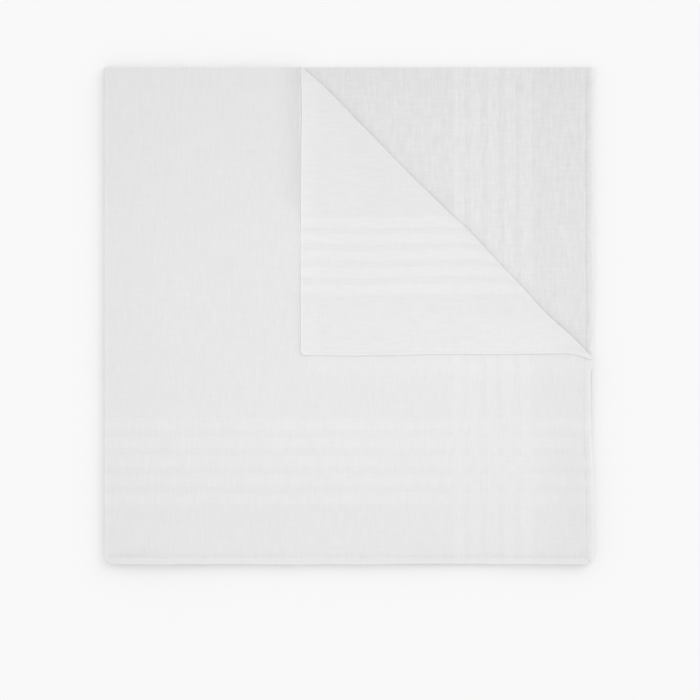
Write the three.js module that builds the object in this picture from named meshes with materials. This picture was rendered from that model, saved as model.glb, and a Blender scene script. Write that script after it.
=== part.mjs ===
// Linen handkerchief: one hemmed square of cloth, folded in half at the top, folded again
// at the left, and the top right corner of its front layers turned down over a slanting fold.
// Millimetres, +Z up. The folded square lies on z = 0 around the z axis, its top towards +Y.

import * as THREE from 'three';
import { mergeVertices } from 'three/addons/utils/BufferGeometryUtils.js';

// The opened cloth, from hem to hem
const CLOTH_ACROSS = 430;
const CLOTH_DOWN = 437;

// One layer of cloth, and the clear space between two layers
const SHEET = 1.0;
const GAP = 0.3;
const PITCH = SHEET + GAP;

// The folded square, seen from above
const RIGHT = CLOTH_ACROSS / 4;
const LEFT = -RIGHT;
const TOP = CLOTH_DOWN / 4;
const BOTTOM = -TOP;

// Where the slanting fold meets the top edge, measured from the left edge
const CORNER_FOLD_START = 87.1;

// How far the slanting fold bows out past its straight line, down from its upper end,
// and how far from the fold the layers still follow the bow
const CORNER_FOLD_BOW = [
  { along: 0, out: 0 },
  { along: 15, out: 0.8 },
  { along: 35, out: 0.45 },
  { along: 70, out: 0.1 },
  { along: 88, out: 0.4 },
  { along: 103, out: 0.9 },
  { along: 130, out: 0.1 },
  { along: 152, out: -0.75 },
  { along: 172, out: 0.1 },
  { along: 182, out: -0.1 },
];
const BOW_REACH = 45;

// How far the front layers' right hem lies out from the back layers' hem, down from the top,
// how far from the hem the layers are still drawn in with it, and how close to the slanting
// fold that starts
const FRONT_HEM_OFFSET = [
  { along: 0, out: -1.9 },
  { along: 20, out: -1.5 },
  { along: 61, out: -2.1 },
  { along: 115, out: -2.4 },
  { along: 130, out: -1.2 },
  { along: 150, out: -1.1 },
  { along: 182, out: -0.2 },
  { along: 218.5, out: 0.0 },
];
const OFFSET_REACH = 120;
const OFFSET_CLEAR = 5;

// Places where the springy layers stand higher, by this share of their height
const SWELLS = [
  { x: -108, y: 60, reach: 55, rise: 0.1 },
  { x: -108, y: -50, reach: 60, rise: 0.08 },
  { x: -20, y: 60, reach: 40, rise: 0.06 },
  { x: 40, y: 40, reach: 50, rise: 0.08 },
  { x: 70, y: -70, reach: 45, rise: 0.04 },
  { x: -60, y: -109, reach: 40, rise: 0.05 },
];

// The hem's outer edge is rounded over this width, down to this share of the sheet
const HEM_ROUNDING = 0.6;
const HEM_EDGE_SHARE = 0.5;

// The two rounded corners at the bottom, seen from above
const ROUNDED_CORNERS = [
  { x: LEFT, y: BOTTOM, radius: 4.0 },
  { x: RIGHT, y: BOTTOM, radius: 2.6 },
];

// Where the sheet is cut so that it can bend: close to its hems, over its open stretches
// and around each fold
const HEM_CUTS = [HEM_ROUNDING, 1.4, 2.6, 4.0];
const OPEN_CUTS = 11;
const FOLD_CUTS = 6;

// A fold rolls what lies past its line up and over a level axis. It is given by a point on
// its outer edge, the way it faces, the layers under its axis and the layers that it turns.
function makeFold(x, y, facing, layersUnder, layersTurned) {
  const outer = layersTurned * PITCH - GAP / 2;
  const nx = Math.cos(facing);
  const ny = Math.sin(facing);
  return {
    x: x - outer * nx,
    y: y - outer * ny,
    nx,
    ny,
    axis: layersUnder * PITCH - GAP / 2,
    roll: (Math.PI * layersTurned * PITCH) / 2,
  };
}

const topFold = makeFold(0, TOP, Math.PI / 2, 1, 1);
const leftFold = makeFold(LEFT, 0, Math.PI, 2, 2);
const cornerFold = makeFold(LEFT + CORNER_FOLD_START, TOP, Math.PI / 4, 4, 2);

function pastFold(fold, x, y) {
  return (x - fold.x) * fold.nx + (y - fold.y) * fold.ny;
}

function turnOver(point, fold) {
  const past = pastFold(fold, point.x, point.y);
  if (past <= 0) return;
  const turn = Math.PI * Math.min(past / fold.roll, 1);
  const radius = fold.axis - point.z;
  const reach = radius * Math.sin(turn) - Math.max(past - fold.roll, 0);
  point.x += fold.nx * (reach - past);
  point.y += fold.ny * (reach - past);
  point.z = fold.axis - radius * Math.cos(turn);
}

// Reads a table of rows at a distance, easing from each row to the next
function readTable(rows, along) {
  const next = rows.findIndex((row) => row.along > along);
  if (next === 0) return rows[0].out;
  if (next < 0) return rows[rows.length - 1].out;
  const { along: from, out: start } = rows[next - 1];
  const { along: to, out: end } = rows[next];
  return start + (end - start) * THREE.MathUtils.smoothstep(along, from, to);
}

// The middle of the bend of the top fold and of the left fold, on the flat sheet
const topBend = topFold.y + topFold.roll / 2;
const leftBend = leftFold.x - leftFold.roll / 2;

// The flat sheet before folding: its lower right quarter stays where it is
const flatLeft = 2 * leftBend - RIGHT;
const flatTop = 2 * topBend - BOTTOM;

function isFrontLayer(flat) {
  return flat.x < leftBend;
}

// Draws the front layers' right hem in, but leaves the bend of the slanting fold in place
function drawInFrontHem(point) {
  const halfRoll = cornerFold.roll / 2;
  const away = Math.abs(pastFold(cornerFold, point.x, point.y) - halfRoll);
  const share =
    THREE.MathUtils.smoothstep(point.x, RIGHT - OFFSET_REACH, RIGHT) *
    THREE.MathUtils.smoothstep(away, halfRoll, halfRoll + OFFSET_CLEAR);
  point.x += share * readTable(FRONT_HEM_OFFSET, TOP - point.y);
}

// Bows the layers that the slanting fold joins
function bowCornerFold(point) {
  const away = pastFold(cornerFold, point.x, point.y);
  const share = 1 - THREE.MathUtils.smoothstep(Math.abs(away), 0, BOW_REACH);
  const along = (point.x - cornerFold.x) * cornerFold.ny - (point.y - cornerFold.y) * cornerFold.nx;
  const out = share * readTable(CORNER_FOLD_BOW, along);
  point.x += cornerFold.nx * out;
  point.y += cornerFold.ny * out;
}

function roundCorners(point) {
  for (const { x, y, radius } of ROUNDED_CORNERS) {
    const centreX = x - Math.sign(x) * radius;
    const centreY = y - Math.sign(y) * radius;
    const dx = (point.x - centreX) * Math.sign(x);
    const dy = (point.y - centreY) * Math.sign(y);
    if (dx <= 0 || dy <= 0) continue;
    const pull = Math.max(dx, dy) / Math.hypot(dx, dy);
    point.x = centreX + (point.x - centreX) * pull;
    point.y = centreY + (point.y - centreY) * pull;
  }
}

function swell(point) {
  let share = 1;
  for (const { x, y, reach, rise } of SWELLS) {
    share += rise * Math.exp(-((Math.hypot(point.x - x, point.y - y) / reach) ** 2));
  }
  point.z *= share;
}

// Thins the sheet towards its outer edge, so that the hem ends in a rounded edge
function roundHem(point, flat) {
  const toSide = Math.min(RIGHT - flat.x, flat.x - flatLeft);
  const toEnd = Math.min(flat.y - BOTTOM, flatTop - flat.y);
  const share = THREE.MathUtils.mapLinear(
    Math.min(toSide, toEnd, HEM_ROUNDING),
    0,
    HEM_ROUNDING,
    HEM_EDGE_SHARE,
    1,
  );
  point.z = SHEET / 2 + (flat.z - SHEET / 2) * share;
}

// Takes a point of the flat sheet to its place in the folded cloth
function foldPoint(flat) {
  const point = flat.clone();
  roundHem(point, flat);
  turnOver(point, topFold);
  turnOver(point, leftFold);
  if (isFrontLayer(flat)) {
    drawInFrontHem(point);
    turnOver(point, cornerFold);
    bowCornerFold(point);
  }
  roundCorners(point);
  swell(point);
  return point;
}

// Points closer to a cut than the first lie on it, and points closer together than the second
// are one point
const TOUCHING = 1e-6;
const SAME_POINT = 1e-3;

// Splits each polygon where a distance that is linear over it passes through zero
function cutAll(polygons, distance) {
  const pieces = [];
  for (const polygon of polygons) {
    const away = polygon.map(distance);
    if (Math.min(...away) > -TOUCHING || Math.max(...away) < TOUCHING) {
      pieces.push(polygon);
      continue;
    }
    const near = [];
    const far = [];
    polygon.forEach((corner, i) => {
      const j = (i + 1) % polygon.length;
      if (away[i] < TOUCHING) near.push(corner);
      if (away[i] > -TOUCHING) far.push(corner);
      if (Math.abs(away[i]) < TOUCHING || Math.abs(away[j]) < TOUCHING) return;
      if (away[i] * away[j] > 0) return;
      const crossing = corner.clone().lerp(polygon[j], away[i] / (away[i] - away[j]));
      near.push(crossing);
      far.push(crossing);
    });
    pieces.push(near, far);
  }
  return pieces;
}

// Cuts across half the sheet from a hem to the start of a fold, around half the bend, and
// the same again as a mirror image on the other half
function cutPlaces(hem, foldStart, bend) {
  const inwards = Math.sign(foldStart - hem);
  const places = HEM_CUTS.map((cut) => hem + inwards * cut);
  const openStart = places[places.length - 1];
  for (let i = 1; i <= OPEN_CUTS; i++) {
    places.push(THREE.MathUtils.lerp(openStart, foldStart, i / OPEN_CUTS));
  }
  for (let i = 1; i < FOLD_CUTS / 2; i++) {
    places.push(THREE.MathUtils.lerp(foldStart, bend, i / (FOLD_CUTS / 2)));
  }
  return [...places, bend, ...places.map((place) => 2 * bend - place)];
}

// How far a point of the flat sheet comes to lie past the slanting fold, before that fold
function pastCornerFold(flat) {
  if (!isFrontLayer(flat)) return -CLOTH_ACROSS;
  const x = 2 * leftBend - flat.x;
  const y = topBend - Math.abs(flat.y - topBend);
  return pastFold(cornerFold, x, y);
}

function sheetFaces() {
  const corner = (x, y, z) => new THREE.Vector3(x, y, z);
  const outline = [
    [flatLeft, BOTTOM],
    [RIGHT, BOTTOM],
    [RIGHT, flatTop],
    [flatLeft, flatTop],
  ];
  const upper = outline.map(([x, y]) => corner(x, y, SHEET));
  const lower = outline.map(([x, y]) => corner(x, y, 0)).reverse();
  const sides = outline.map(([x, y], i) => {
    const [nextX, nextY] = outline[(i + 1) % outline.length];
    return [corner(x, y, 0), corner(nextX, nextY, 0), corner(nextX, nextY, SHEET), corner(x, y, SHEET)];
  });
  return [upper, lower, ...sides];
}

function foldedCloth() {
  let polygons = sheetFaces();
  for (const place of cutPlaces(RIGHT, leftFold.x, leftBend)) {
    polygons = cutAll(polygons, (flat) => flat.x - place);
  }
  for (const place of cutPlaces(BOTTOM, topFold.y, topBend)) {
    polygons = cutAll(polygons, (flat) => flat.y - place);
  }
  for (let i = 0; i <= FOLD_CUTS; i++) {
    const place = (cornerFold.roll * i) / FOLD_CUTS;
    polygons = cutAll(polygons, (flat) => pastCornerFold(flat) - place);
  }

  const positions = [];
  for (const polygon of polygons) {
    const folded = polygon.map(foldPoint);
    for (let i = 1; i < folded.length - 1; i++) {
      positions.push(...folded[0], ...folded[i], ...folded[i + 1]);
    }
  }
  const geometry = new THREE.BufferGeometry();
  geometry.setAttribute('position', new THREE.Float32BufferAttribute(positions, 3));
  const merged = mergeVertices(geometry, SAME_POINT);
  merged.computeVertexNormals();
  return merged;
}

// Matt off-white linen
const linen = new THREE.MeshStandardMaterial({ color: 0xe8e8e8, roughness: 0.9, metalness: 0 });

const handkerchief = new THREE.Mesh(foldedCloth(), linen);
handkerchief.name = 'handkerchief';

const part = new THREE.Group();
part.add(handkerchief);

export default part;
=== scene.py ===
# %% [markdown]
# # A folded linen handkerchief
#
# The object is one square of fine off-white linen with a narrow hem and a band of satin
# stripes along each side. It is folded in half at the top and again at the left, and the top
# right corner of its two front layers is turned down over a slanting fold.
#
# The whole cloth is modelled flat first, with its hem and its small unevenness, and then every
# point of it is carried to its folded place by three rolls. One cloth stays one mesh, its
# stripes run on through the folds, and its layers follow those of the solid frame.

import math

import bmesh
import bpy
import numpy as np
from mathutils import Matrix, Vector


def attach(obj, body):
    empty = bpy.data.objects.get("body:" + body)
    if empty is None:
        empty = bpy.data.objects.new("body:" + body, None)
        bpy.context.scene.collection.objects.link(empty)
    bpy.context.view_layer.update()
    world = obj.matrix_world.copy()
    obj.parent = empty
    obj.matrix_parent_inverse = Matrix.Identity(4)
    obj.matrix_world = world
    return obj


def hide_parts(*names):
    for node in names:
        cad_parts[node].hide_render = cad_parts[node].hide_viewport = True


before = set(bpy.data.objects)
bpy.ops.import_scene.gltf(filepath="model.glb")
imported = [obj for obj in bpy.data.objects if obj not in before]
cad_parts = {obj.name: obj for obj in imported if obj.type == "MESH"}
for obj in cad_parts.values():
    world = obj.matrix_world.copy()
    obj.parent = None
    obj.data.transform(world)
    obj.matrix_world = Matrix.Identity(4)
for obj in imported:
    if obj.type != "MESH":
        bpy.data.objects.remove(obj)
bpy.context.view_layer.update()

# %% [markdown]
# ## Sizes
#
# All lengths are in metres. The folded square is one quarter of the opened cloth, so both
# follow from the same two sizes. A layer of the solid frame is thicker than real linen. The
# thin sheet made here lies along the middle of each layer, and only the rolled hem fills it.

# %% Sizes of the cloth
MM = 0.001

CLOTH_ACROSS = 430 * MM
CLOTH_DOWN = 437 * MM
LAYER = 1.0 * MM
GAP = 0.3 * MM
PITCH = LAYER + GAP

RIGHT, LEFT = CLOTH_ACROSS / 4, -CLOTH_ACROSS / 4
TOP, BOTTOM = CLOTH_DOWN / 4, -CLOTH_DOWN / 4

LINEN = 0.38 * MM
CORNER_FOLD_START = 87.1 * MM


def in_mm(*lengths):
    return [round(float(length) / MM, 2) for length in lengths]


print("folded square, mm:", in_mm(RIGHT - LEFT, TOP - BOTTOM))

# %% [markdown]
# ## Folding by rolls
#
# A fold is a line across the cloth and a level axis above it. Cloth that lies past the line is
# rolled up over the axis and comes back on top, upside down. Each layer keeps its distance from
# the axis, so inner layers bend tightly and outer layers widely, as in a real pressed fold.
#
# An ironed fold is flatter than a round roll, so the roll is pressed to part of its width,
# while everything past it stays where the full roll would lay it.
#
# A bend modifier could turn a sheet too, but it can't turn two layers out of four over one
# line, so the fold is a short function, used three times.

# %% The three folds
PRESSED = 0.25


def make_fold(x, y, facing, layers_under, layers_turned):
    outer = layers_turned * PITCH - GAP / 2
    full_roll = math.pi * layers_turned * PITCH / 2
    nx, ny = math.cos(facing), math.sin(facing)
    return {
        "x": x - outer * PRESSED * nx,
        "y": y - outer * PRESSED * ny,
        "nx": nx,
        "ny": ny,
        "axis": layers_under * PITCH - GAP / 2,
        "roll": full_roll - 2 * outer * (1 - PRESSED),
    }


top_fold = make_fold(0, TOP, math.pi / 2, 1, 1)
left_fold = make_fold(LEFT, 0, math.pi, 2, 2)
corner_fold = make_fold(LEFT + CORNER_FOLD_START, TOP, math.pi / 4, 4, 2)


def past_fold(fold, x, y):
    return (x - fold["x"]) * fold["nx"] + (y - fold["y"]) * fold["ny"]


def turn_over(points, fold, moving):
    past = past_fold(fold, points[:, 0], points[:, 1])
    moving = moving & (past > 0)
    past = past[moving]
    turn = np.pi * np.minimum(past / fold["roll"], 1)
    radius = fold["axis"] - points[moving, 2]
    reach = PRESSED * radius * np.sin(turn) - np.maximum(past - fold["roll"], 0)
    points[moving, 0] += fold["nx"] * (reach - past)
    points[moving, 1] += fold["ny"] * (reach - past)
    points[moving, 2] = fold["axis"] - radius * np.cos(turn)


# The middle of each straight bend on the flat cloth, and the flat cloth's far edges
TOP_BEND = top_fold["y"] + top_fold["roll"] / 2
LEFT_BEND = left_fold["x"] - left_fold["roll"] / 2
FLAT_LEFT = 2 * LEFT_BEND - RIGHT
FLAT_TOP = 2 * TOP_BEND - BOTTOM
print("flat cloth, mm:", in_mm(RIGHT - FLAT_LEFT, FLAT_TOP - BOTTOM))

# %% [markdown]
# ## What makes it uneven
#
# No folded cloth is straight. Short tables say how far the slanting fold bows out from its
# line, how far the front layers' hem lies in from the back layers' hem, and where the springy
# stack stands a little higher. They repeat the tables of the solid frame. Between two rows a
# value eases from one to the other.

# %% The uneven places
CORNER_FOLD_BOW = {
    "along": [0, 15, 35, 70, 88, 103, 130, 152, 172, 182],
    "out": [0, 0.8, 0.45, 0.1, 0.4, 0.9, 0.1, -0.75, 0.1, -0.1],
}
BOW_REACH = 45 * MM

FRONT_HEM_OFFSET = {
    "along": [0, 20, 61, 115, 130, 150, 182, 218.5],
    "out": [-1.9, -1.5, -2.1, -2.4, -1.2, -1.1, -0.2, 0.0],
}
OFFSET_REACH = 120 * MM
OFFSET_CLEAR = 5 * MM

SWELLS = [
    {"x": -108, "y": 60, "reach": 55, "rise": 0.1},
    {"x": -108, "y": -50, "reach": 60, "rise": 0.08},
    {"x": -20, "y": 60, "reach": 40, "rise": 0.06},
    {"x": 40, "y": 40, "reach": 50, "rise": 0.08},
    {"x": 70, "y": -70, "reach": 45, "rise": 0.04},
    {"x": -60, "y": -109, "reach": 40, "rise": 0.05},
]

ROUNDED_CORNERS = [
    {"x": LEFT, "y": BOTTOM, "radius": 4.0 * MM},
    {"x": RIGHT, "y": BOTTOM, "radius": 2.6 * MM},
]
FLAP_CORNER = {"x": -21.1 * MM, "y": -17.3 * MM, "radius": 1.8 * MM}
print("places where the stack stands higher:", len(SWELLS))

# %% How far the stack settles
# The stack of thin linen sinks to this share of the solid layers' height, unevenly, and
# the turned corner on top of it sinks further, most of all along its pressed edges
SETTLED = 0.67
SPRING = 0.14
FLAP_SETTLED = 0.42
FLAP_EDGE_SETTLED = 0.13
FLAP_EDGE_REACH = 4.5 * MM
FLAP_PRESS_REACH = 12 * MM
EDGE_ALLOWANCE = 0.5 * MM
FLOOR_GAP = 0.18 * MM
FLAP_SINK = 0.15 * MM
FLAP_FLOOR = 4 * PITCH - GAP - FLAP_SINK

# The edges of the two back layers spring up where nothing lies on them
BACK_SPRING = {"rise": 0.75, "reach": 14 * MM, "clear": 4 * MM, "full": 25 * MM}
print("the turned corner starts this high, mm:", in_mm(FLAP_FLOOR))

# %% Uneven heights and short tables
# How many waves make an uneven surface, how much weaker the shorter ones are, and what their
# sum is divided by to stay around 1. The settling stack's own waves are given in mm
WAVES = {"count": 12, "weaker": 0.8, "sum": 2.6}
STACK_WAVES = {"seed": 31, "longest": 150, "shortest": 45}


def ease(values, start, end):
    share = np.clip((values - start) / (end - start), 0, 1)
    return share * share * (3 - 2 * share)


def waves(points, seed, longest, shortest):
    """A smooth uneven height around 0, made of waves that run in many directions, from the
    longest to the shortest in mm."""
    dice = np.random.default_rng(seed)
    total = np.zeros(len(points))
    for length in np.geomspace(longest, shortest, WAVES["count"]):
        angle, phase = dice.uniform(0, np.pi), dice.uniform(0, 2 * np.pi)
        along = points[:, 0] * math.cos(angle) + points[:, 1] * math.sin(angle)
        height = (length / longest) ** WAVES["weaker"]
        total += height * np.sin(2 * np.pi * along / (length * MM) + phase)
    return total / WAVES["sum"]


def read_table(table, along):
    rows = np.array(table["along"]) * MM
    out = np.array(table["out"]) * MM
    spot = np.clip(along, rows[0], rows[-1])
    row = np.clip(np.searchsorted(rows, spot, side="right") - 1, 0, len(rows) - 2)
    return out[row] + (out[row + 1] - out[row]) * ease(spot, rows[row], rows[row + 1])


# %% [markdown]
# ## Taking a point of the flat cloth to its folded place
#
# The order is the order of a pair of hands: the top half over, the left half over, the front
# layers' hem drawn in, and their corner turned down. The slanting fold is bowed, the corners that
# show are rounded and the stack is let rise where the table says. Last, the whole stack settles,
# because thin linen lies flatter than the solid frame's layers.

# %% Moves of the front layers
def is_front(flat):
    return flat[:, 0] < LEFT_BEND


def draw_in_front_hem(points, front):
    half_roll = corner_fold["roll"] / 2
    away = np.abs(past_fold(corner_fold, points[:, 0], points[:, 1]) - half_roll)
    share = ease(points[:, 0], RIGHT - OFFSET_REACH, RIGHT)
    share *= ease(away, half_roll, half_roll + OFFSET_CLEAR)
    points[:, 0] += front * share * read_table(FRONT_HEM_OFFSET, TOP - points[:, 1])


def bow_corner_fold(points, front):
    nx, ny = corner_fold["nx"], corner_fold["ny"]
    away = past_fold(corner_fold, points[:, 0], points[:, 1])
    along = (points[:, 0] - corner_fold["x"]) * ny - (points[:, 1] - corner_fold["y"]) * nx
    out = front * (1 - ease(np.abs(away), 0, BOW_REACH)) * read_table(CORNER_FOLD_BOW, along)
    points[:, 0] += nx * out
    points[:, 1] += ny * out


def round_corners(points, turned):
    for corner in ROUNDED_CORNERS + [FLAP_CORNER]:
        side_x, side_y = np.sign(corner["x"]), np.sign(corner["y"])
        centre_x = corner["x"] - side_x * corner["radius"]
        centre_y = corner["y"] - side_y * corner["radius"]
        dx = (points[:, 0] - centre_x) * side_x
        dy = (points[:, 1] - centre_y) * side_y
        inside = (dx > 0) & (dy > 0)
        if corner is FLAP_CORNER:
            inside &= turned
        pull = np.maximum(dx, dy)[inside] / np.hypot(dx, dy)[inside]
        points[inside, 0] = centre_x + side_x * dx[inside] * pull
        points[inside, 1] = centre_y + side_y * dy[inside] * pull


# %% Swelling, settling and the whole fold
def swell(points):
    share = np.ones(len(points))
    for place in SWELLS:
        away = np.hypot(points[:, 0] - place["x"] * MM, points[:, 1] - place["y"] * MM)
        share += place["rise"] * np.exp(-((away / (place["reach"] * MM)) ** 2))
    points[:, 2] *= share


def settle(points):
    under = np.minimum(points[:, 2], FLAP_FLOOR)
    from_edge = np.minimum(points[:, 0] - FLAP_CORNER["x"], points[:, 1] - FLAP_CORNER["y"])
    sprung = ease(from_edge, 0, FLAP_EDGE_REACH)
    flap_share = FLAP_EDGE_SETTLED + (FLAP_SETTLED - FLAP_EDGE_SETTLED) * sprung
    flap_share = 1 + (flap_share - 1) * ease(from_edge, -FLAP_PRESS_REACH, -EDGE_ALLOWANCE)
    share = SETTLED * (1 + SPRING * waves(points, **STACK_WAVES))
    past = past_fold(corner_fold, points[:, 0], points[:, 1])
    to_edge = np.minimum(RIGHT - points[:, 0], TOP - points[:, 1])
    uncovered = ease(past, BACK_SPRING["clear"], BACK_SPRING["full"])
    share *= 1 + BACK_SPRING["rise"] * uncovered * (1 - ease(to_edge, 0, BACK_SPRING["reach"]))
    points[:, 2] = share * (under - FLOOR_GAP + (points[:, 2] - under) * flap_share)


def fold_cloth(flat, lifted):
    points = lifted.copy()
    everywhere = np.ones(len(points), dtype=bool)
    front = is_front(flat)
    turn_over(points, top_fold, everywhere)
    turn_over(points, left_fold, everywhere)
    draw_in_front_hem(points, front)
    turned = front & (past_fold(corner_fold, points[:, 0], points[:, 1]) > corner_fold["roll"])
    turn_over(points, corner_fold, front)
    bow_corner_fold(points, front)
    round_corners(points, turned)
    swell(points)
    settle(points)
    return points


# %% [markdown]
# ## The flat cloth
#
# The flat cloth starts as a grid. Its lines lie close together where the shape turns quickly,
# across the hem and around each fold, and a few millimetres apart over the open linen. The
# slanting fold crosses the grid, so the faces near it are cut along lines that follow it.

# %% Grid lines of the flat cloth
EDGE_LINES = [0, 0.12, 0.35, 0.7, 1.15, 1.6, 2.05, 2.4]
SEAM_LINES = [2.65, 2.85, 3.0, 3.15, 3.35, 3.7, 4.3, 5.3]
HEM_LINES = np.array(EDGE_LINES + SEAM_LINES) * MM
OPEN_STEP = 2.7 * MM
BEND_STEP = 0.34 * MM
FEWEST_BEND_STEPS = 4
BEND_RUN_UP = np.array([1.4, 0.5]) * MM


def grid_lines(hem, fold_start, bend):
    inwards = np.sign(fold_start - hem)
    near_hem = hem + inwards * HEM_LINES
    near_bend = fold_start - inwards * BEND_RUN_UP
    steps = round(abs(near_bend[0] - near_hem[-1]) / OPEN_STEP)
    middle = np.linspace(near_hem[-1], near_bend[0], steps + 1)[1:-1]
    bend_steps = max(FEWEST_BEND_STEPS, round(abs(bend - fold_start) / BEND_STEP))
    around = np.linspace(fold_start, bend, bend_steps + 1)
    half = np.concatenate([near_hem, middle, near_bend, around])
    return np.sort(np.concatenate([half, 2 * bend - half[:-1]]))


# Beside the turned corner's left edge the shade of the linen changes quickly
FLAP_EDGE_LINES = np.array([-0.5, 0, 0.5, 1.1, 1.9]) * MM
beside_flap = 2 * LEFT_BEND - FLAP_CORNER["x"] + FLAP_EDGE_LINES

lines_across = grid_lines(RIGHT, left_fold["x"], LEFT_BEND)
lines_across = np.sort(np.concatenate([lines_across, beside_flap]))
lines_down = grid_lines(BOTTOM, top_fold["y"], TOP_BEND)
print("grid lines:", len(lines_across), "across,", len(lines_down), "down")

# %% Cut the grid along the slanting fold
CORNER_CUTS = 10
CORNER_RUN_UP = np.array([0.5, 1.5]) * MM
CUT_BAND = 12 * MM
SAME_POINT = 1e-7

corner_cut_lines = np.concatenate([
    -CORNER_RUN_UP,
    np.linspace(0, corner_fold["roll"], CORNER_CUTS + 1),
    corner_fold["roll"] + CORNER_RUN_UP,
])


def cut_layer(cloth, past_line, is_upper):
    """Cuts one front layer along a line that lies past_line beyond the slanting fold."""
    fold_y = 2 * TOP_BEND - corner_fold["y"] if is_upper else corner_fold["y"]
    slope = -1 if is_upper else 1
    spot = Vector((2 * LEFT_BEND - corner_fold["x"] - past_line / corner_fold["nx"], fold_y, 0))
    facing = Vector((-corner_fold["nx"], slope * corner_fold["ny"], 0))
    near = []
    for face in cloth.faces:
        middle = face.calc_center_median()
        on_layer = middle.x < LEFT_BEND and (middle.y > TOP_BEND) == is_upper
        if on_layer and abs((middle - spot).dot(facing)) < CUT_BAND:
            near.append(face)
    parts = {part for face in near for part in (face, *face.edges, *face.verts)}
    bmesh.ops.bisect_plane(
        cloth, geom=list(parts), dist=SAME_POINT, plane_co=spot, plane_no=facing
    )


def flat_cloth():
    """Returns the flat cloth's points and its triangles, all facing up."""
    cloth = bmesh.new()
    rows = [[cloth.verts.new((x, y, 0)) for x in lines_across] for y in lines_down]
    for near, far in zip(rows, rows[1:]):
        for i in range(len(lines_across) - 1):
            cloth.faces.new((near[i], near[i + 1], far[i + 1], far[i]))
    for past_line in corner_cut_lines:
        cut_layer(cloth, past_line, is_upper=False)
        cut_layer(cloth, past_line, is_upper=True)
    bmesh.ops.triangulate(cloth, faces=cloth.faces)
    cloth.verts.index_update()
    points = np.array([vert.co[:] for vert in cloth.verts])
    triangles = np.array([[vert.index for vert in face.verts] for face in cloth.faces])
    cloth.free()
    return points, triangles


flat, triangles = flat_cloth()
print("flat cloth:", len(flat), "points,", len(triangles), "triangles")

# %% [markdown]
# ## The hem
#
# The hem is the cloth's edge, rolled over twice and sewn down. From the side it is a flat
# bead about three millimetres wide, and the seam pinches the linen into a narrow valley
# beside it. One profile gives half its thickness at any depth from the edge. Seeded wavering
# lines make its width, its thickness and its edge as uneven as a sewn hem is.
#
# A separate strip laid on the cloth would be quicker to make, but it would leave a step
# where the real hem has none.

# %% Hem profile
# HEM_TIP and FLAP_FULLNESS are shares of the plain linen's thickness
HEM_WIDTH = 3.0 * MM
HEM_HALF_THICKNESS = 0.43 * MM
HEM_TIP = 0.55
SEAM_PINCH = 0.35
SEAM_REACH = 0.3 * MM
CORNER_THICKENING = 0.1
CORNER_REACH = 3.0 * MM
SIDE_SPACING = 0.9
FLAP_FULLNESS = 0.35
FLAP_FADE = 4 * corner_fold["roll"]
WIDTH_WAVER = {"share": 0.06, "longest": 60 * MM}
FULLNESS_WAVER = {"share": 0.1, "longest": 34 * MM}

# %% A wavering line
# The line is a sum of waves, each shorter and weaker than the last by these shares
WAVER = {"count": 5, "shorter": 0.6, "weaker": 0.75, "sum": 2.2, "uneven": (0.85, 1.15)}


def waver(along, seed, longest):
    """A smooth uneven line around 0, mostly between -1 and 1."""
    dice = np.random.default_rng(seed)
    total = np.zeros_like(along)
    for step in range(WAVER["count"]):
        length = longest * WAVER["shorter"] ** step * dice.uniform(*WAVER["uneven"])
        phase = dice.uniform(0, 2 * np.pi)
        total += WAVER["weaker"] ** step * np.sin(2 * np.pi * along / length + phase)
    return total / WAVER["sum"]


# %% Thickness of the cloth
def hem_place(flat):
    """How deep a point lies in from the nearest hem, and how far along that hem."""
    x, y = flat[:, 0], flat[:, 1]
    depths = np.stack([RIGHT - x, y - BOTTOM, x - FLAT_LEFT, FLAT_TOP - y])
    side = depths.argmin(axis=0)
    along = np.where(side % 2 == 0, y, x) + side * SIDE_SPACING
    return depths.min(axis=0), along, side


def in_flap(flat):
    """0 outside the turned corner and 1 in it, with a soft change over the slanting fold."""
    x = LEFT_BEND + np.abs(flat[:, 0] - LEFT_BEND)
    y = TOP_BEND - np.abs(flat[:, 1] - TOP_BEND)
    return is_front(flat) * ease(past_fold(corner_fold, x, y), 0, FLAP_FADE)


def half_thickness(flat):
    depth, along, _ = hem_place(flat)
    width_waver = waver(along, seed=11, longest=WIDTH_WAVER["longest"])
    width = HEM_WIDTH * (1 + WIDTH_WAVER["share"] * width_waver)
    x, y = flat[:, 0], flat[:, 1]
    to_corner = np.hypot(
        np.minimum(RIGHT - x, x - FLAT_LEFT), np.minimum(y - BOTTOM, FLAT_TOP - y)
    )
    fullness_waver = waver(along, seed=12, longest=FULLNESS_WAVER["longest"])
    fullness = 1 + FULLNESS_WAVER["share"] * fullness_waver
    fullness += CORNER_THICKENING * np.exp(-((to_corner / CORNER_REACH) ** 2))
    bead = np.clip(1 - np.abs(1 - 2 * depth / width) ** 3, 0, 1) ** 0.5
    bead = np.where(depth < width, bead, 0) * HEM_HALF_THICKNESS * fullness
    pinch = 1 - SEAM_PINCH * np.exp(-(((depth - width) / SEAM_REACH) ** 2))
    # The stack sinks when it settles, so the sheet starts out thicker by that share
    sheet = LINEN / SETTLED / 2 * pinch * (HEM_TIP + (1 - HEM_TIP) * ease(depth, 0, width / 2))
    return np.hypot(bead, sheet * (1 + FLAP_FULLNESS * in_flap(flat)))


half = half_thickness(flat)
print("thickness of hem and of seam, mm:", in_mm(2 * half.max(), 2 * half.min()))

# %% [markdown]
# ## Ripples
#
# The edge wanders by a fraction of a millimetre. The seam draws the linen in a little, so it
# puckers along the hem, and the open cloth is never quite level after washing and ironing.
# These ripples are kept shallower than the space between two layers, and they die out
# towards the pressed folds.

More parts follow.
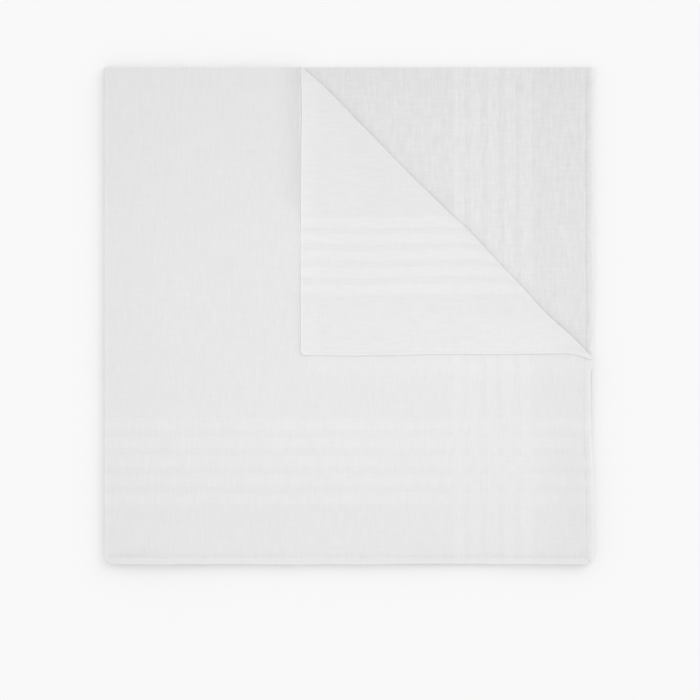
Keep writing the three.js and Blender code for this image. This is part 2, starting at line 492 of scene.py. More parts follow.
# %% Lift the flat cloth into ripples
EDGE_WANDER = {"out": 0.22 * MM, "longest": 150 * MM, "reach": 14 * MM}
PUCKER = {"rise": 0.12 * MM, "longest": 16 * MM, "reach": 7 * MM}
RIPPLE = {"rise": 0.2 * MM, "fade": 9 * MM}
RIPPLE_WAVES = {"seed": 21, "longest": 95, "shortest": 17}

EDGE_FACING = np.array([[1, 0], [0, -1], [-1, 0], [0, 1]])


def to_folds(flat):
    """How far a point of the flat cloth lies from the nearest fold."""
    x = LEFT_BEND + np.abs(flat[:, 0] - LEFT_BEND)
    y = TOP_BEND - np.abs(flat[:, 1] - TOP_BEND)
    to_corner = np.abs(past_fold(corner_fold, x, y) - corner_fold["roll"] / 2)
    to_corner = np.where(is_front(flat), to_corner, CLOTH_ACROSS)
    return np.minimum(np.minimum(x - LEFT_BEND, TOP_BEND - y), to_corner)


def lift_cloth(flat):
    depth, along, side = hem_place(flat)
    lifted = flat.copy()
    out = EDGE_WANDER["out"] * waver(along, seed=13, longest=EDGE_WANDER["longest"])
    out *= np.exp(-depth / EDGE_WANDER["reach"])
    lifted[:, :2] += EDGE_FACING[side] * out[:, None]
    calm = ease(to_folds(flat), 0, RIPPLE["fade"])
    height = RIPPLE["rise"] * waves(flat, **RIPPLE_WAVES) * ease(depth, 0, RIPPLE["fade"])
    pucker = PUCKER["rise"] * waver(along, seed=14, longest=PUCKER["longest"])
    height += pucker * np.exp(-((depth / PUCKER["reach"]) ** 2))
    lifted[:, 2] = LAYER / 2 + calm * height
    return lifted


lifted = lift_cloth(flat)
ripples = lifted[:, 2] - LAYER / 2
print("lowest and highest ripple, mm:", in_mm(ripples.min(), ripples.max()))

# %% [markdown]
# ## The main creases
#
# These marks are listed by the layer they lie on and their place on the folded square: the hem of
# the layer beneath that shows through along the bottom, the soft trough beside the turned corner
# and the light along its edges. Each is a straight stretch with a soft cross section. Some only
# paint light or shade onto the linen's colour, and the others lift or sink it too. The painted
# shade stands in for the shadow in the trough and in the seam's valley, and the painted light for
# light along the thin edges.

# %% Creases and their painted shade
# Layers are counted from the floor. A crease runs from one place on the folded square to another,
# in mm, and its reach and rise are in mm too. The shade is painted light and shade: how much darker
# or lighter the linen's colour is made there, standing in for shadow in troughs and valleys and for
# light along the edges
CREASE_FADE = 3 * MM
CREASE_COLUMNS = ("layer", "start", "end", "reach", "rise", "painted_shade")
CREASES = [
    (4, (-104, -102.8), (10, -103.2), 1.3, 0.14, 0.004),
    (4, (10, -103.2), (104, -102.6), 1.5, 0.09, 0.003),
    (4, (-104, -105.6), (-37, -105.7), 1.2, -0.12, -0.016),
    (4, (-103, -105.9), (-86, -105.7), 1.0, -0.16, -0.015),
    (4, (-37, -105.9), (30, -105.8), 0.7, -0.06, -0.012),
    (4, (30, -106.1), (104, -106.1), 1.2, -0.05, -0.03),
    (4, (103.2, -22), (104.6, -78), 1.1, 0.12, 0.01),
    (4, (-21.5, 108), (-21, 52), 6.5, -0.2, -0.072),
    (4, (-21, 45), (-21, -16), 2.2, -0.1, -0.035),
    (2, (102.4, 104), (102.9, 4), 1.2, 0.1, 0.006),
    (4, (-16, -22), (98, -22), 5.0, 0, 0.02),
    (4, (-21, 108), (-21, 50), 0.45, 0, 0.17),
    (4, (-21, 50), (-21, -16), 0.45, 0, 0.13),
    (4, (30, -103), (90, -103), 4.0, 0, -0.012),
    (4, (78, -24), (78, -95), 9.0, 0, 0.01),
    (4, (100, -62), (100, -104), 12.0, 0, -0.028),
    (2, (100, 96), (100, 5), 7.0, 0, 0.015),
    (2, (-14, 104), (106, -16), 5.0, 0, 0.014),
    (6, (-19, 108.5), (107, -17.5), 0.9, 0, -0.03),
    (6, (-19.5, 100), (-19.5, 48), 4.5, 0.08, 0.058),
    (6, (-12, 85), (-2, 55), 10.0, 0, 0.014),
    (6, (60, -8), (100, -15), 7.0, 0, 0.015),
    (6, (-19.5, 40), (-19.5, -14), 4.5, 0.08, 0.036),
    (6, (-18, -7), (80, -7), 13.0, 0, 0.014),
    (6, (-19.5, -17.5), (-18.5, -15.5), 1.4, 0.1, 0.03),
    (6, (-19, -12.6), (90, -12.6), 0.7, -0.05, 0.002),
    (6, (-15, -15), (90, -14.6), 1.5, 0.1, 0.038),
]
print("creases placed by hand:", len(CREASES))


# %% Find the layers and the creases
def layer_of(flat):
    """The layer of the folded cloth, counted from the floor, that each point comes to lie in."""
    front = is_front(flat)
    upper = flat[:, 1] > TOP_BEND
    x = LEFT_BEND + np.abs(flat[:, 0] - LEFT_BEND)
    y = TOP_BEND - np.abs(flat[:, 1] - TOP_BEND)
    turned = front & (past_fold(corner_fold, x, y) > corner_fold["roll"] / 2)
    plain = np.where(front, np.where(upper, 3, 4), np.where(upper, 2, 1))
    return np.where(turned, np.where(upper, 6, 5), plain)


def crease_marks(points, flat):
    """How high each crease lifts a point, and how much lighter its painted light and shade make the
    linen's colour there.
    """
    layer = layer_of(flat)
    rise, painted_shade = np.zeros(len(points)), np.zeros(len(points))
    for row in CREASES:
        crease = dict(zip(CREASE_COLUMNS, row))
        start = np.array(crease["start"]) * MM
        run = np.array(crease["end"]) * MM - start
        share = np.clip((points[:, :2] - start) @ run / (run @ run), 0, 1)
        away = np.linalg.norm(points[:, :2] - start - share[:, None] * run, axis=1)
        soft = (layer == crease["layer"]) * np.exp(-((away / (crease["reach"] * MM)) ** 2))
        rise += crease["rise"] * MM * soft
        painted_shade += crease["painted_shade"] * soft
    return rise * ease(to_folds(flat), 0, CREASE_FADE), painted_shade


# %% Fold both faces of the cloth
FLOOR_CLEAR = 0.01 * MM

faces_of_cloth = []
for side in (1, -1):
    face = lifted.copy()
    face[:, 2] += side * half
    folded = fold_cloth(flat, face)
    folded[:, 2] += crease_marks(folded, flat)[0]
    folded[:, 2] = np.maximum(folded[:, 2], FLOOR_CLEAR)
    faces_of_cloth.append(folded)
upper_face, lower_face = faces_of_cloth
cloth_points = np.vstack(faces_of_cloth)
print("folded cloth, mm:", in_mm(*(cloth_points.max(axis=0) - cloth_points.min(axis=0))))

# %% [markdown]
# ## One closed mesh
#
# The upper face, the lower face with its triangles turned round, and a thin rim along the
# edge make one closed sheet. Two maps lie over it. The first gives each point its place on
# the flat cloth, so that threads and stripes follow the linen through every fold. The second
# spreads both faces beside each other without overlap, for a baked picture of the finish.
#
# Two more numbers go with each point: the layer that it lies in, and its painted light and shade,
# which is how much lighter or darker the linen's colour is made there. They belong to the mesh
# because a formula over the flat cloth could not easily tell what lies beneath a point once it is
# folded.

# %% Build the mesh
def rim_edges(triangles):
    """The outline's edges, each in the direction in which its triangle runs."""
    count = triangles.max() + 1
    edges = np.concatenate([triangles[:, [0, 1]], triangles[:, [1, 2]], triangles[:, [2, 0]]])
    forth = edges[:, 0] * count + edges[:, 1]
    back = edges[:, 1] * count + edges[:, 0]
    return edges[~np.isin(forth, back)]


count = len(flat)
rim = rim_edges(triangles)
rim_faces = np.column_stack([rim[:, 1], rim[:, 0], rim[:, 0] + count, rim[:, 1] + count])
mesh = bpy.data.meshes.new("handkerchief_linen")
mesh.from_pydata(
    cloth_points.tolist(),
    [],
    triangles.tolist() + (triangles[:, ::-1] + count).tolist() + rim_faces.tolist(),
)
mesh.shade_smooth()
linen_cloth = bpy.data.objects.new("handkerchief_linen", mesh)
bpy.context.collection.objects.link(linen_cloth)
print("cloth mesh:", 2 * len(triangles) + 2 * len(rim_faces), "triangles")

# %% Lay the two maps over it
MAP_MARGIN = 0.012
RIM_ON_MAP = 0.004
AT_EDGE = 0.4999

flat_share = (flat[:, :2] - [FLAT_LEFT, BOTTOM]) / [RIGHT - FLAT_LEFT, FLAT_TOP - BOTTOM]


def half_map(side):
    """Squeezes the flat cloth into the left or right half of the map."""
    spot = MAP_MARGIN + flat_share * (1 - 2 * MAP_MARGIN)
    return np.column_stack([(spot[:, 0] + side) / 2, spot[:, 1]])


corners = np.array([loop.vertex_index for loop in mesh.loops])
cloth_spot = np.tile(flat[:, :2] - [FLAT_LEFT, BOTTOM], (2, 1))
cloth_map = mesh.uv_layers.new(name="Cloth")
cloth_map.data.foreach_set("uv", cloth_spot[corners].ravel())

bake_spot = np.vstack([half_map(0), half_map(1)])
bake_corners = bake_spot[corners]
# The three corners of each triangle of both faces come first, and then the rim's
rim_start = 2 * triangles.size
outwards = np.sign(flat_share - 0.5) * (np.abs(flat_share - 0.5) > AT_EDGE)
rim_corners = corners[rim_start:].reshape(-1, 4)
rim_spots = half_map(0)[rim_corners % count]
rim_spots[:, 2:] += outwards[rim_corners[:, 2:] % count] * [RIM_ON_MAP / 2, RIM_ON_MAP]
bake_corners[rim_start:] = rim_spots.reshape(-1, 2)
bake_map = mesh.uv_layers.new(name="OFBake")
bake_map.data.foreach_set("uv", bake_corners.ravel())
mesh.uv_layers.active = cloth_map
print("maps:", [layer.name for layer in mesh.uv_layers])

# %% Layer and painted light and shade of each point
# The linen's colour is painted darker towards the top and the left of the folded square, as painted
# shade where the light falls off, and it is made darker towards the hems and where two layers lie
# alone. Its thin edges, both those of the turned corner and those of the square, are painted
# lighter, as painted light standing in for light that comes through them
TOP_PAINTED_SHADE = {"tone": -0.055, "reach": 105 * MM}
LEFT_PAINTED_SHADE = {"tone": -0.045, "reach": 110 * MM}
SHADE_LEAD = 0.5
BACK_SHADE = -0.031
MARGIN_SHADE = {"tone": -0.016, "from": 15 * MM, "to": 65 * MM}
EDGE_PAINTED_LIGHT = {"tone": 0.07, "reach": 0.5 * MM}
OUTER_PAINTED_LIGHT = {"tone": 0.065, "reach": 0.7 * MM}


def painted_shade_of(flat, points):
    """How much lighter or darker than the plain linen each point of the cloth is painted, as
    painted light and shade.
    """
    painted_shade = crease_marks(points, flat)[1]
    # Painted shade: the colour darkens towards the top and the left, standing in for light that
    # falls off there
    for away, side in ((TOP - points[:, 1], TOP_PAINTED_SHADE), (points[:, 0] - LEFT, LEFT_PAINTED_SHADE)):
        painted_shade += side["tone"] * (1 - ease(away, -SHADE_LEAD * side["reach"], side["reach"]))
    layer, flap = layer_of(flat), in_flap(flat)
    depth = hem_place(flat)[0]
    painted_shade += BACK_SHADE * (layer <= 2)
    in_margin = 1 - ease(depth, MARGIN_SHADE["from"], MARGIN_SHADE["to"])
    painted_shade += MARGIN_SHADE["tone"] * (1 - flap) * in_margin
    to_flap_edge = np.minimum(depth, np.abs(flat[:, 1] - TOP_BEND))
    to_outer_edge = np.minimum(depth, np.abs(flat[:, 0] - LEFT_BEND))
    # Painted light along the thin edges of the turned corner and of the square
    painted_shade += flap * EDGE_PAINTED_LIGHT["tone"] * np.exp(-((to_flap_edge / EDGE_PAINTED_LIGHT["reach"]) ** 2))
    outer_painted_light = OUTER_PAINTED_LIGHT["tone"] * np.exp(-((to_outer_edge / OUTER_PAINTED_LIGHT["reach"]) ** 2))
    return painted_shade + (1 - flap) * outer_painted_light


for name, values in (
    ("stack", np.tile(layer_of(flat), 2)),
    ("painted_shade", np.concatenate([painted_shade_of(flat, upper_face), painted_shade_of(flat, lower_face)])),
):
    attribute = mesh.attributes.new(name, "FLOAT", "POINT")
    attribute.data.foreach_set("value", values.astype(float))
    print(name, "from", round(float(values.min()), 3), "to", round(float(values.max()), 3))

# %% [markdown]
# ## Arithmetic for materials
#
# A finish is worked out from numbers that vary over the cloth, and writing them as formulas is
# shorter and easier to read than placing each Math node. This small class holds one output of
# a node. Adding or multiplying it makes the Math node that does so, and `node` makes any
# other kind, with its settings first and then its inputs.

# %% A class for node arithmetic
class Wire:
    def __init__(self, tree, socket=None):
        self.tree = tree
        self.socket = socket

    def node(self, kind, settings=None, inputs=None, output=0):
        made = self.tree.nodes.new(kind)
        for name, value in (settings or {}).items():
            setattr(made, name, value)
        for name, value in (inputs or {}).items():
            if isinstance(value, Wire):
                self.tree.links.new(value.socket, made.inputs[name])
            else:
                made.inputs[name].default_value = value
        return Wire(self.tree, made.outputs[output] if made.outputs else None)

    def math(self, operation, *values):
        return self.node("ShaderNodeMath", {"operation": operation}, dict(enumerate(values)))

    def __add__(self, other):
        return self.math("ADD", self, other)

    def __sub__(self, other):
        return self.math("SUBTRACT", self, other)

    def __rsub__(self, other):
        return self.math("SUBTRACT", other, self)

    def __mul__(self, other):
        return self.math("MULTIPLY", self, other)

    def __truediv__(self, other):
        return self.math("DIVIDE", self, other)

    def __mod__(self, other):
        return self.math("FLOORED_MODULO", self, other)

    __radd__ = __add__
    __rmul__ = __mul__

    def output(self, name):
        """Another output of the node that this one comes from."""
        return Wire(self.tree, self.socket.node.outputs[name])

    def floor(self):
        return self.math("FLOOR", self)

    def cosine(self):
        return self.math("COSINE", self)

    def larger(self, other):
        return self.math("MAXIMUM", self, other)

    def smaller(self, other):
        return self.math("MINIMUM", self, other)

    def rise(self, start, end):
        """0 below start, 1 above end, and a smooth rise between."""
        spans = {"Value": self, "From Min": start, "From Max": end}
        return self.node("ShaderNodeMapRange", {"interpolation_type": "SMOOTHSTEP"}, spans)

    def blend(self, other, share):
        """This value where share is 0 and the other where it is 1."""
        return self + (other - self) * share


def new_material(name):
    material = bpy.data.materials.new(name)
    material.use_nodes = True
    material.node_tree.nodes.clear()
    return material, Wire(material.node_tree)


# %% [markdown]
# ## The weave
#
# Linen is a plain weave: each thread runs over one thread and under the next. Flax spins
# unevenly, so a thread has thick slubs and thin stretches a few millimetres long, and each
# thread differs a little from its neighbour. These streaks are what the eye sees from afar.
#
# Every formula reads the flat cloth's own map, in millimetres, so that the threads turn with
# the cloth. A picture of a weave would be quicker, but it would blur close up and repeat.

# %% Threads
THREAD_PITCH = 0.46
THREAD_WANDER = 0.5
WANDER_LENGTH = 30.0
SLUB_LENGTH = 6.5
SLUB_NOISE = {"detail": 3.0, "roughness": 0.6}
SLUB_RISE = (0.6, 0.8)
THREAD_SPREAD = 7.31
CROSSING = 0.2

# Warp and weft read the noise at places this far apart, so that they differ
WEFT_BEND_AT = 40
WEFT_TONE_AT = 300
print("threads across the cloth:", round(CLOTH_ACROSS / MM / THREAD_PITCH))


# %% Weave from threads
def cloth_place(desk):
    """A point's place across and down the flat cloth, in millimetres."""
    spot = desk.node("ShaderNodeUVMap", {"uv_map": "Cloth"})
    across = desk.node("ShaderNodeSeparateXYZ", inputs={0: spot}, output="X") / MM
    down = desk.node("ShaderNodeSeparateXYZ", inputs={0: spot}, output="Y") / MM
    return across, down


def noise(desk, x, y, detail=2.0, roughness=0.5):
    spot = desk.node("ShaderNodeCombineXYZ", inputs={"X": x, "Y": y})
    inputs = {"Vector": spot, "Scale": 1.0, "Detail": detail, "Roughness": roughness}
    return desk.node("ShaderNodeTexNoise", {"noise_dimensions": "2D"}, inputs)


def plain_weave(desk, across, down):
    """The weave's height, the tone of its threads and their slubs, each from about 0 to 1."""
    bend_x = noise(desk, across / WANDER_LENGTH, down / WANDER_LENGTH) - 0.5
    bend_y = noise(desk, across / WANDER_LENGTH + WEFT_BEND_AT, down / WANDER_LENGTH) - 0.5
    warp = (across + THREAD_WANDER * bend_x) / THREAD_PITCH
    weft = (down + THREAD_WANDER * bend_y) / THREAD_PITCH
    warp_number, weft_number = warp.floor(), weft.floor()
    warp_side, weft_side = warp - warp_number - 0.5, weft - weft_number - 0.5

    over = 1 - 2 * ((warp_number + weft_number) % 2)
    warp_round = 1 - 4 * warp_side * warp_side
    weft_round = 1 - 4 * weft_side * weft_side
    warp_height = 0.5 * warp_round + 0.5 * over * (math.pi * weft_side).cosine()
    weft_height = 0.5 * weft_round - 0.5 * over * (math.pi * warp_side).cosine()

    warp_place = warp_number * THREAD_SPREAD
    warp_tone = noise(desk, warp_place, down / SLUB_LENGTH, **SLUB_NOISE)
    weft_along = across / SLUB_LENGTH
    weft_place = weft_number * THREAD_SPREAD + WEFT_TONE_AT
    weft_tone = noise(desk, weft_along, weft_place, **SLUB_NOISE)
    warp_on_top = (warp_height - weft_height).rise(-CROSSING, CROSSING)
    return {
        "height": warp_height.larger(weft_height),
        "warp_round": warp_round,
        "weft_round": weft_round,
        "tone": weft_tone.blend(warp_tone, warp_on_top),
        "warp_slub": warp_tone.rise(*SLUB_RISE),
        "weft_slub": weft_tone.rise(*SLUB_RISE),
    }


# %% [markdown]
# ## The satin stripes
#
# Along each side runs a band of five stripes. In a stripe the threads float over several
# others before they dip, so the cloth is smoother and throws back a little more light.
# A stripe is found from the distance to the nearest hem, with one formula for both directions.
# Where the bands cross, both show.

# %% Stripes
STRIPES = 5
SIDE_STRIPES = {"start": 26.3, "period": 7.5, "width": 5.4}
END_STRIPES = {"start": 25.9, "period": 8.2, "width": 5.6}
STRIPE_EDGE = 0.9


def stripes(depth, band, shift=0):
    """1 in the stripes of a band at a depth from the hem, and 0 between them."""
    place = depth - band["start"] - shift
    number = (place / band["period"]).floor()
    inside = place - number * band["period"]
    rising = inside.rise(0, STRIPE_EDGE)
    falling = inside.rise(band["width"] - STRIPE_EDGE, band["width"])
    in_band = number.math("COMPARE", number, (STRIPES - 1) / 2, STRIPES / 2)
    return rising * (1 - falling) * in_band


# %% [markdown]
# ## The linen's finish
#
# The threads' tone, the slubs and the stripes shift one off-white colour by a few hundredths.
# Where only two layers lie over each other, threads and stripes show more clearly, because less
# linen beneath evens them out. The same formulas lift the surface for the bump. Everything is
# kept soft, as the cloth has almost no colour and little contrast.

# %% Numbers of the linen's finish
LINEN_COLOUR = 0.79
TONE_SPAN = 0.15
RELIEF = 0.08 * MM
STRIPE_DRIFT = {"by": 0.9, "across": 8, "along": 60}
SHOWN_SHIFT = 1.3
STREAK_WIDTH = 1.35
STREAK_LENGTH = 8.0
WEFT_STREAK_AT = 90

# How much each detail lightens the linen, and how much more it does so on the back layers
TONE = {
    "thread": 0.014,
    "warp_slub": 0.016,
    "weft_slub": 0.01,
    "warp_streak": 0.056,
    "weft_streak": 0.03,
    "stripe": 0.009,
    "beneath": 0.004,
}
BACK_THREADS = 2.1
BACK_STRIPES = 2.2

# How much each detail lifts the surface, as a share of the relief
THREAD_BASE = 0.3
THREAD_LIFT = 0.6
LIFT = {"warp_slub": 0.5, "weft_slub": 0.35, "stripe": 0.5}
BUMP_STRENGTH = 0.8
LINEN_ROUGHNESS = 0.88
STRIPE_SMOOTHNESS = 0.14
print("tones of the linen's details:", TONE)

# %% Linen material
# The places of the Mix node's factor and colours among its inputs, and of its colour output
MIX_FACTOR, MIX_FROM, MIX_TO, MIX_COLOUR = 0, 6, 7, 2


def drift(desk, x, y):
    """How far a stripe strays from its place."""
    return STRIPE_DRIFT["by"] * (noise(desk, x, y) - 0.5)


def linen_material():
    material, desk = new_material("Linen")
    across, down = cloth_place(desk)
    flat_across = (RIGHT - FLAT_LEFT) / MM
    flat_down = (FLAT_TOP - BOTTOM) / MM
    side_depth = across.smaller(flat_across - across)
    end_depth = down.smaller(flat_down - down)
    side_drift = drift(desk, across / STRIPE_DRIFT["across"], down / STRIPE_DRIFT["along"])
    end_drift = drift(desk, across / STRIPE_DRIFT["along"], down / STRIPE_DRIFT["across"])
    side_stripe = stripes(side_depth + side_drift, SIDE_STRIPES)
    end_stripe = stripes(end_depth + end_drift, END_STRIPES)
    stripe = side_stripe.larger(end_stripe)
    beneath = stripes(side_depth, SIDE_STRIPES, SHOWN_SHIFT)
    beneath = beneath.larger(stripes(end_depth, END_STRIPES, -SHOWN_SHIFT))

    weave = plain_weave(desk, across, down)
    warp_streak = noise(desk, across / STREAK_WIDTH, down / STREAK_LENGTH)
    weft_streak = noise(desk, across / STREAK_LENGTH + WEFT_STREAK_AT, down / STREAK_WIDTH)
    layers = desk.node("ShaderNodeAttribute", {"attribute_name": "stack"}, output="Fac")
    painted_shade = desk.node("ShaderNodeAttribute", {"attribute_name": "painted_shade"}, output="Fac")
    tone = TONE["thread"] * (weave["tone"] - 0.5)
    tone += TONE["warp_slub"] * weave["warp_slub"] + TONE["weft_slub"] * weave["weft_slub"]
    warp_streak, weft_streak = warp_streak - 0.5, weft_streak - 0.5
    tone += TONE["warp_streak"] * warp_streak + TONE["weft_streak"] * weft_streak
    # Layers 1 and 2 are the back pair, and 5 and 6 lie in the turned corner
    tone *= BACK_THREADS - (BACK_THREADS - 1) * layers.rise(2, 3)
    in_front = layers.rise(2, 3) * (1 - layers.rise(4, 5))
    tone += TONE["stripe"] * stripe * (BACK_STRIPES - (BACK_STRIPES - 1) * in_front)
    # The painted light and shade from the mesh goes into the colour here
    tone += TONE["beneath"] * beneath + painted_shade
    dark, light = LINEN_COLOUR * (1 - TONE_SPAN), LINEN_COLOUR * (1 + TONE_SPAN)
    colour = desk.node(
        "ShaderNodeMix",
        {"data_type": "RGBA"},
        {
            MIX_FACTOR: 0.5 + tone / (2 * TONE_SPAN),
            MIX_FROM: (dark, dark, dark, 1),
            MIX_TO: (light, light, light, 1),
        },
        output=MIX_COLOUR,
    )

    height = weave["height"]
    height = height.blend(THREAD_BASE + THREAD_LIFT * weave["warp_round"], side_stripe)
    height = height.blend(THREAD_BASE + THREAD_LIFT * weave["weft_round"], end_stripe)
    height += LIFT["warp_slub"] * weave["warp_slub"] + LIFT["weft_slub"] * weave["weft_slub"]
    height += LIFT["stripe"] * stripe
    bump = desk.node(
        "ShaderNodeBump", inputs={"Strength": BUMP_STRENGTH, "Distance": RELIEF, "Height": height}
    )
    finish = {
        "Base Color": colour,
        "Roughness": LINEN_ROUGHNESS - STRIPE_SMOOTHNESS * stripe,
        "Specular IOR Level": 0.3,
        "Sheen Weight": 0.06,
        "Sheen Roughness": 0.5,
        "Normal": bump,
    }
    shader = desk.node("ShaderNodeBsdfPrincipled", inputs=finish)
    desk.node("ShaderNodeOutputMaterial", inputs={"Surface": shader})
    return material


linen = linen_material()
mesh.materials.append(linen)
print("linen:", len(linen.node_tree.nodes), "nodes")

# %% [markdown]
# ## The seam that holds the hem
#
# A line of small stitches runs along the valley beside the hem, on both faces. Each stitch
# is a short length of thread that comes up out of the linen and dives back in. Geometry
# Nodes place them: points a stitch apart along the seam's path each get a copy of one small
# bead-like stitch, leaning and stretched a little by seeded random numbers.

# %% Path of the seam
SEAM_POINT_STEP = 0.6 * MM
THREAD_RADIUS = 0.1 * MM
THREAD_SUNK = 0.4


def seam_on_flat():
    """Points along the seam of all four hems, on the flat cloth, as one closed line."""
    corners = [(RIGHT, BOTTOM), (RIGHT, FLAT_TOP), (FLAT_LEFT, FLAT_TOP), (FLAT_LEFT, BOTTOM)]
    inset = [np.array(spot) + HEM_WIDTH * np.sign([-spot[0], -spot[1]]) for spot in corners]
    points = []
    for start, end in zip(inset, inset[1:] + inset[:1]):
        steps = round(np.linalg.norm(end - start) / SEAM_POINT_STEP)
        points.append(start + (end - start) * np.arange(steps)[:, None] / steps)
    line = np.vstack(points)
    return np.column_stack([line, np.zeros(len(line))])


seam = seam_on_flat()
seam_lifted = lift_cloth(seam)
seam_half = half_thickness(seam)
seam_points = []
seam_edges = []
for side in (1, -1):
    thread = seam_lifted.copy()
    thread[:, 2] += side * (seam_half + THREAD_RADIUS * THREAD_SUNK)
    folded = fold_cloth(seam, thread)
    folded[:, 2] = np.maximum(folded[:, 2] + crease_marks(folded, seam)[0], 2 * THREAD_RADIUS)
    first = len(seam_points)
    seam_points.extend(folded.tolist())
    seam_edges.extend((first + i, first + (i + 1) % len(seam)) for i in range(len(seam)))

seam_path = bpy.data.meshes.new("hem_stitches")
seam_path.from_pydata(seam_points, seam_edges, [])
hem_stitches = bpy.data.objects.new("hem_stitches", seam_path)
bpy.context.collection.objects.link(hem_stitches)
print("seam path, m:", round(2 * len(seam) * SEAM_POINT_STEP, 2))

# %% Tree of the stitches
STITCH_FACETS = {"Segments": 6, "Rings": 4, "Radius": 1.0}

# The places of the Random Value node's lowest and highest number, and of its number output
RANDOM_LOW, RANDOM_HIGH, RANDOM_NUMBER = 2, 3, 1


def stitch_tree():
    tree = bpy.data.node_groups.new("Stitches along a seam", "GeometryNodeTree")
    tree.interface.new_socket("Stitches", in_out="OUTPUT", socket_type="NodeSocketGeometry")
    sockets = {
        "Seam": "NodeSocketGeometry",
        "Pitch": "NodeSocketFloat",
        "Stitch Length": "NodeSocketFloat",
        "Thread Radius": "NodeSocketFloat",
        "Lean": "NodeSocketFloat",
        "Unevenness": "NodeSocketFloat",
        "Seed": "NodeSocketInt",
        "Thread": "NodeSocketMaterial",
    }
    for name, kind in sockets.items():
        tree.interface.new_socket(name, in_out="INPUT", socket_type=kind)
    desk = Wire(tree)
    given = {socket.name: Wire(tree, socket) for socket in tree.nodes.new("NodeGroupInput").outputs}

    curve = desk.node("GeometryNodeMeshToCurve", inputs={"Mesh": given["Seam"]})
    places = {"Curve": curve, "Length": given["Pitch"]}
    points = desk.node("GeometryNodeCurveToPoints", {"mode": "LENGTH"}, places)
    bead = desk.node("GeometryNodeMeshUVSphere", inputs=STITCH_FACETS)
    radius = given["Thread Radius"]
    size = desk.node(
        "ShaderNodeCombineXYZ", inputs={"X": radius, "Y": radius, "Z": given["Stitch Length"] / 2}
    )

    def random_number(low, high, seed):
        spans = {RANDOM_LOW: low, RANDOM_HIGH: high, "Seed": seed}
        return desk.node(
            "FunctionNodeRandomValue", {"data_type": "FLOAT"}, spans, output=RANDOM_NUMBER
        )

    share = given["Unevenness"]
    uneven = random_number(1 - share, 1 + share, given["Seed"])
    size = desk.node("ShaderNodeVectorMath", {"operation": "SCALE"}, {0: size, "Scale": uneven})
    lean = random_number(given["Lean"] * -1, given["Lean"], given["Seed"] + 1)
    lean = desk.node("ShaderNodeCombineXYZ", inputs={"X": lean, "Y": lean})
    lean = desk.node("FunctionNodeEulerToRotation", inputs={"Euler": lean})
    turn = desk.node(
        "FunctionNodeRotateRotation",
        {"rotation_space": "LOCAL"},
        {"Rotation": points.output("Rotation"), "Rotate By": lean},
    )
    copies = desk.node(
        "GeometryNodeInstanceOnPoints",
        inputs={"Points": points, "Instance": bead, "Rotation": turn, "Scale": size},
    )
    solid = desk.node("GeometryNodeRealizeInstances", inputs={"Geometry": copies})
    smooth = desk.node("GeometryNodeSetShadeSmooth", inputs={"Geometry": solid})
    finished = desk.node(
        "GeometryNodeSetMaterial", inputs={"Geometry": smooth, "Material": given["Thread"]}
    )
    desk.node("NodeGroupOutput", inputs={"Stitches": finished})
    return tree


# %% Sewing thread
THREAD_TONE = 0.76
FUZZ_TONE = 0.08
FUZZ_NOISE = {"Scale": 9000.0, "Detail": 2.0}
FUZZ_BUMP = {"Strength": 0.4, "Distance": 0.03 * MM}


def thread_material():
    material, desk = new_material("Sewing thread")
    spot = desk.node("ShaderNodeTexCoord", output="Object")
    fuzz = desk.node("ShaderNodeTexNoise", inputs={"Vector": spot, **FUZZ_NOISE})
    tone = THREAD_TONE + FUZZ_TONE * fuzz
    colour = desk.node("ShaderNodeCombineColor", inputs={0: tone, 1: tone, 2: tone})
    bump = desk.node("ShaderNodeBump", inputs={**FUZZ_BUMP, "Height": fuzz})
    finish = {"Base Color": colour, "Roughness": 0.7, "Specular IOR Level": 0.35, "Normal": bump}
    shader = desk.node("ShaderNodeBsdfPrincipled", inputs=finish)
    desk.node("ShaderNodeOutputMaterial", inputs={"Surface": shader})
    return material


# %% Stitches along the seam
STITCH_PITCH = 2.2 * MM
STITCH_SHARE = 0.86
STITCH_LEAN = 0.09
STITCH_UNEVEN = 0.12
STITCH_SEED = 5


def make_real(piece, tree, values):
    """Runs a geometry tree on a piece and keeps the result as the piece's plain mesh."""
    modifier = piece.modifiers.new(tree.name, "NODES")
    modifier.node_group = tree
    for item in tree.interface.items_tree:
        if item.name in values:
            modifier[item.identifier] = values[item.name]
    evaluated = piece.evaluated_get(bpy.context.evaluated_depsgraph_get())
    made = bpy.data.meshes.new_from_object(evaluated)
    piece.modifiers.clear()
    piece.data = made


make_real(hem_stitches, stitch_tree(), {
    "Pitch": STITCH_PITCH,
    "Stitch Length": STITCH_PITCH * STITCH_SHARE,
    "Thread Radius": THREAD_RADIUS,
    "Lean": STITCH_LEAN,
    "Unevenness": STITCH_UNEVEN,
    "Seed": STITCH_SEED,
    "Thread": thread_material(),
})

# The stitches on the underside are pressed flat against the floor
stitch_spots = np.zeros(3 * len(hem_stitches.data.vertices))
hem_stitches.data.vertices.foreach_get("co", stitch_spots)
stitch_spots[2::3] = np.maximum(stitch_spots[2::3], FLOOR_CLEAR)
hem_stitches.data.vertices.foreach_set("co", stitch_spots)
print("stitches:", len(hem_stitches.data.polygons), "faces")

# %% [markdown]
# ## Floor, light and camera
#
# The floor is plain and pale. The light is a soft studio light: an even sky from all sides and
# a wide sun from the upper right, so that the folds throw a short soft shadow to the lower left.
# A sun lights the whole floor evenly, where a lamp close by would leave it brighter in the middle.
#
# The camera looks straight down through a long lens, as it does for a flat lay.

# %% Floor
FLOOR_SIZE = 6.0
FLOOR_COLOUR = 0.9

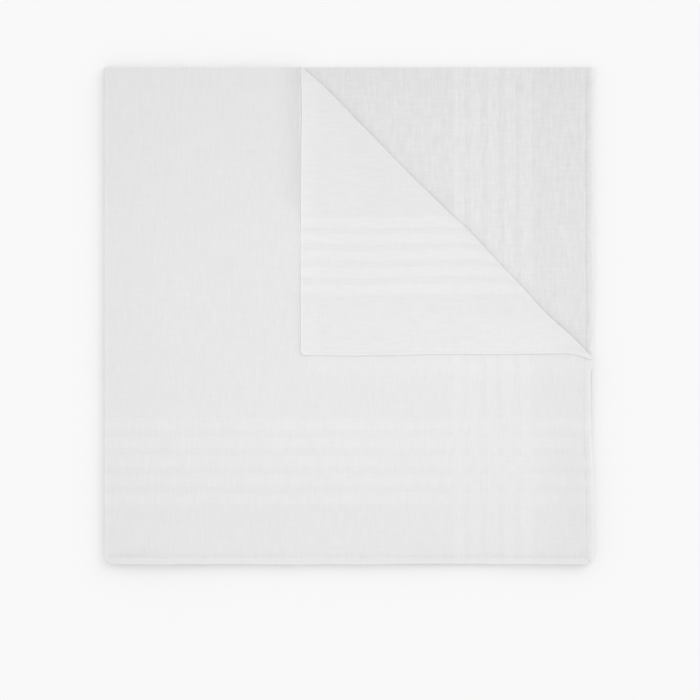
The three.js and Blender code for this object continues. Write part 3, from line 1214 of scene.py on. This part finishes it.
floor_mesh = bpy.data.meshes.new("floor")
reach = FLOOR_SIZE / 2
floor_corners = [(-reach, -reach, 0), (reach, -reach, 0), (reach, reach, 0), (-reach, reach, 0)]
floor_mesh.from_pydata(floor_corners, [], [(0, 1, 2, 3)])
floor = bpy.data.objects.new("floor", floor_mesh)
bpy.context.collection.objects.link(floor)
floor_finish, floor_desk = new_material("Floor")
floor_shader = floor_desk.node(
    "ShaderNodeBsdfPrincipled",
    inputs={
        "Base Color": (FLOOR_COLOUR, FLOOR_COLOUR, FLOOR_COLOUR, 1),
        "Roughness": 1.0,
        "Specular IOR Level": 0.0,
    },
)
floor_desk.node("ShaderNodeOutputMaterial", inputs={"Surface": floor_shader})
floor_mesh.materials.append(floor_finish)

# %% Light
SKY_SHARE = 0.965
SUN_SHARE = 0.085
SUN_WIDTH = math.radians(45)
SUN_AZIMUTH = math.radians(42)
SUN_ELEVATION = math.radians(30)

world = bpy.data.worlds.new("Studio")
world.use_nodes = True
sky = world.node_tree.nodes["Background"]
sky.inputs["Color"].default_value = (1, 1, 1, 1)
sky.inputs["Strength"].default_value = SKY_SHARE
bpy.context.scene.world = world

sun = bpy.data.lights.new("Wide sun", "SUN")
sun.angle = SUN_WIDTH
sun.energy = math.pi * SUN_SHARE / math.sin(SUN_ELEVATION)
sun_object = bpy.data.objects.new("Wide sun", sun)
towards_sun = Vector((
    math.cos(SUN_ELEVATION) * math.cos(SUN_AZIMUTH),
    math.cos(SUN_ELEVATION) * math.sin(SUN_AZIMUTH),
    math.sin(SUN_ELEVATION),
))
sun_object.rotation_euler = towards_sun.to_track_quat("Z", "Y").to_euler()
bpy.context.collection.objects.link(sun_object)
bpy.context.scene.view_settings.view_transform = "Standard"

# %% Camera
VIEW_SIDE = 307.4 * MM
VIEW_CENTRE = (0.66 * MM, -15.17 * MM)
LENS = 200
SENSOR = 36
FRONT_FACE = 4.6 * MM

camera = bpy.data.cameras.new("Camera")
camera.lens = LENS
camera.sensor_width = SENSOR
camera_object = bpy.data.objects.new("Camera", camera)
camera_object.location = (*VIEW_CENTRE, FRONT_FACE + VIEW_SIDE * LENS / SENSOR)
bpy.context.collection.objects.link(camera_object)
bpy.context.scene.camera = camera_object
print("camera height, m:", round(camera_object.location.z, 3))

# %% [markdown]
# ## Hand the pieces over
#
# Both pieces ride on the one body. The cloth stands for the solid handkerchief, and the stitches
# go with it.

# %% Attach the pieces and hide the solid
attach(linen_cloth, "root")
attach(hem_stitches, "root")
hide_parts("handkerchief")
